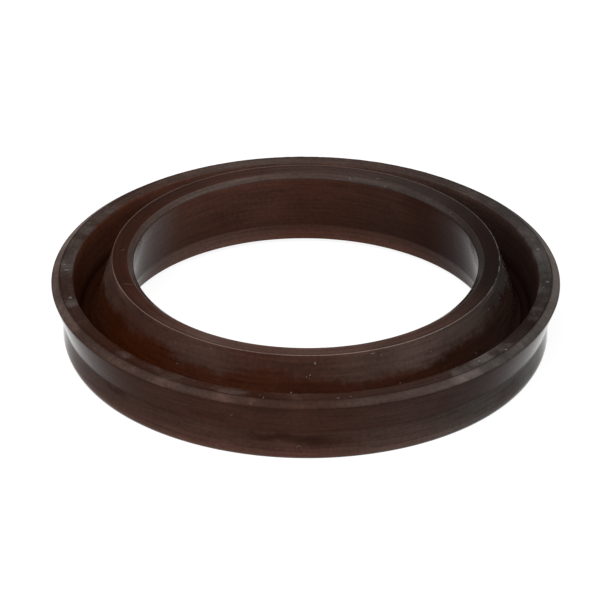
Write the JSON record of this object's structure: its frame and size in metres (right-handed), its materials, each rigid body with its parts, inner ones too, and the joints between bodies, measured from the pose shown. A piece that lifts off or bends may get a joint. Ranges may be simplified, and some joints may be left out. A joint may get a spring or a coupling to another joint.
{
  "type": "u cup seal",
  "caption": "One-piece moulded rubber ring with a U-shaped section, whose outer and inner lips seal against a bore and a shaft under pressure.",
  "frame": {"origin": "on the ring's axis, in the plane of the heel's flat base", "axes": "+Z along the ring's axis, from the heel towards the open groove; X and Y are any two radii, because the ring is round"},
  "size_m": [0.0538, 0.0538, 0.0093],
  "materials": {
    "seal_rubber": "satin dark brown-black moulded rubber, with a dull knife-trimmed tip on the outer lip"
  },
  "bodies": {
    "root": {"u_cup_seal": "seal_rubber"}
  },
  "joints": []
}
